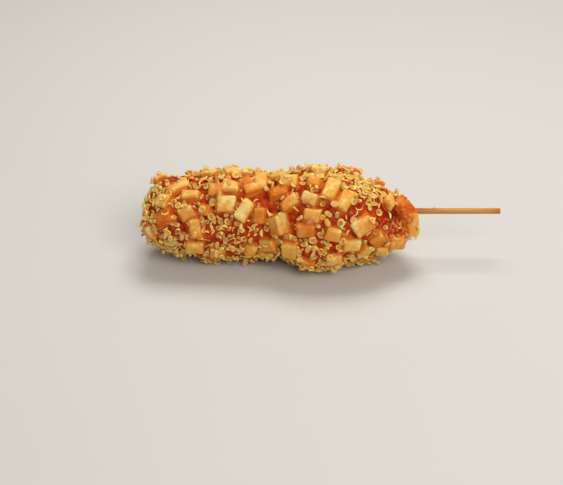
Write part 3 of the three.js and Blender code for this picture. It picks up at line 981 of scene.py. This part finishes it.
# Clear toasted shells and solid cream germs, and both are red where batter has soaked in.
tint = quinoa.attribute("tint")
mottle = quinoa.noise(700, 2)
is_germ = quinoa.ramp(quinoa.attribute("germ"), 0.1, 0.6)
low = quinoa.attribute("low")
clear = (1 - is_germ) * (0.8 - 0.5 * tint)
oily = 0.8 * low + 0.5 * tint + 0.3 * mottle
shell = quinoa.mix(quinoa.ramp(oily, 0.4, 1.3), SHELL_CREAM, SHELL_TOAST)
germ = quinoa.mix(quinoa.ramp(tint + 0.6 * mottle, 0.6, 1.4), GERM_CREAM, GERM_GOLD)
colour = quinoa.mix(is_germ, shell, germ)
soaked = low * (1.1 - 0.5 * tint) + 0.3 * mottle
colour = quinoa.mix(quinoa.ramp(soaked, 0.5, 1.35), colour, SOAKED_RED)
quinoa.surface(
    Base_Color=colour,
    Roughness=0.28 + 0.25 * mottle,
    Alpha=1 - clear,
    Normal=quinoa.bump(quinoa.noise(1800, 2), 0.25, 0.0003),
)

# Painted shade: the batter is darker below and between the grains.
SHADE_REACH = 2.3 * MM
grain_places = KDTree(len(taken))
for i, point in enumerate(taken):
    grain_places.insert(point, i)
grain_places.balance()
shade = batter.data.attributes.new("shade", "FLOAT", "POINT")
for i, vert in enumerate(batter.data.vertices):
    shade.data[i].value = 1 - clamp(grain_places.find(vert.co)[2] / SHADE_REACH)

for name, (bm, _) in pieces.items():
    grains = new_piece(name, mesh_from(bm, name), quinoa.material)
    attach(grains, "root")
    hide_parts("batter")

# ------------------------------------------------------------------------------------ skewer
# A round bamboo skewer, 3 mm thick, cut square at the free end: split fibres along its
# length, and a stain of fried batter near the body and on the cut.
SKEWER_SIDES, SKEWER_RINGS = 28, 90
SKEWER_FIBRE = 0.05 * MM
FIBRE_ALONG, FIBRE_ROUND = 60, 3  # the fibres' noise, along and round
POINT_LENGTH, POINT_BLUNT = 8 * MM, 0.25  # of the hidden end, and its thickness there
END_BEVEL = 0.002
SPLINTER_FROM_END = 34.4 * MM
SPLINTER_LEAN = 0.5
SPLINTER = (0.55 * MM, 0.1 * MM, 2.2 * MM)  # its radius at the root, at the tip, and length
skewer_radius = (skewer_high.y - skewer_low.y) / 2
skewer_length = skewer_high.x - skewer_low.x


def runs_along(edge):
    return abs(edge.verts[0].co.x - edge.verts[1].co.x) > 0.5


bm = bmesh.new()
bmesh.ops.create_cone(bm, cap_ends=True, segments=SKEWER_SIDES, radius1=1, radius2=1, depth=1,
                      matrix=Matrix.Rotation(math.pi / 2, 4, "Y"))
ends = [edge for edge in bm.edges if not runs_along(edge)]
bmesh.ops.bevel(bm, geom=ends, offset=END_BEVEL, offset_type="OFFSET", affect="EDGES", segments=2,
                profile=0.5, material=-1)
long_edges = [edge for edge in bm.edges if runs_along(edge)]
bmesh.ops.subdivide_edges(bm, edges=long_edges, cuts=SKEWER_RINGS, use_grid_fill=True)
for vert in bm.verts:
    x = skewer_low.x + (vert.co.x + 0.5) * skewer_length
    turn = math.atan2(vert.co.z, vert.co.y)
    across = math.hypot(vert.co.y, vert.co.z)
    point = clamp((x - skewer_low.x) / POINT_LENGTH, POINT_BLUNT, 1)
    fibre = noise.noise(Vector((x * FIBRE_ALONG, math.cos(turn) * FIBRE_ROUND,
                                math.sin(turn) * FIBRE_ROUND)))
    radius = across * (skewer_radius * point + SKEWER_FIBRE * fibre)
    y = skewer_line.y + radius * math.cos(turn)
    vert.co = (x, y, skewer_line.z + radius * math.sin(turn))
splinter = Matrix.Translation((skewer_high.x - SPLINTER_FROM_END, skewer_line.y, skewer_high.z))
bmesh.ops.create_cone(bm, cap_ends=True, segments=7, radius1=SPLINTER[0], radius2=SPLINTER[1],
                      depth=SPLINTER[2], matrix=splinter @ Matrix.Rotation(SPLINTER_LEAN, 4, "Y"))
bmesh.ops.recalc_face_normals(bm, faces=bm.faces)

BAMBOO = (0.61, 0.29, 0.055, 1)
BAMBOO_DARK = (0.53, 0.19, 0.035, 1)
STAIN = (0.40, 0.06, 0.01, 1)
STAIN_FADES = (12 * MM, 30 * MM)  # from the body, where the stain starts to fade and is gone
CUT_STAIN = (-4 * MM, 2 * MM)  # from the free end
TOP_STAIN = (1.1 * MM, 1.9 * MM)  # above the skewer's middle

bamboo = Finish("bamboo", {"Specular IOR Level": 0.35})
fibres = bamboo.noise(3000, 3, stretch=(0.03, 1, 1))
streaks = bamboo.noise(700, 2, stretch=(0.05, 1, 1))
wood = bamboo.mix(bamboo.ramp(fibres + 0.6 * streaks, 0.55, 1.05), BAMBOO, BAMBOO_DARK)
along = bamboo.node("SeparateXYZ", {}, {"Vector": bamboo.place()}, "X")
height = bamboo.node("SeparateXYZ", {}, {"Vector": bamboo.place()}, "Z")
body_end = TIP_X + BODY_LENGTH * MM
fade = [body_end + reach for reach in STAIN_FADES]
cut = [skewer_high.x + reach for reach in CUT_STAIN]
top = [skewer_line.z + reach for reach in TOP_STAIN]
stained = 1 - bamboo.ramp(along + 0.03 * streaks, *fade)
cut_stain = bamboo.ramp(along + 0.004 * streaks, *cut)
on_top = bamboo.ramp(height + 0.001 * streaks, *top)
wood = bamboo.mix(stained * (0.2 + 0.75 * on_top) + cut_stain * 0.5, wood, STAIN)
bamboo.surface(
    Base_Color=wood,
    Roughness=0.5 + 0.25 * fibres,
    Normal=bamboo.bump(fibres, 0.5, 0.0002),
)
skewer = new_piece("bamboo_skewer", mesh_from(bm, "bamboo_skewer"), bamboo.material)
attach(skewer, "root")
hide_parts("skewer")

# ------------------------------------------------------------------------------------- sizes
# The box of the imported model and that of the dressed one, kept side by side, so that a
# piece of the wrong size shows at once.
boxes = {"cad": cad_box, "visual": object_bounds()}
{name: [list(corner) for corner in box] for name, box in boxes.items()}
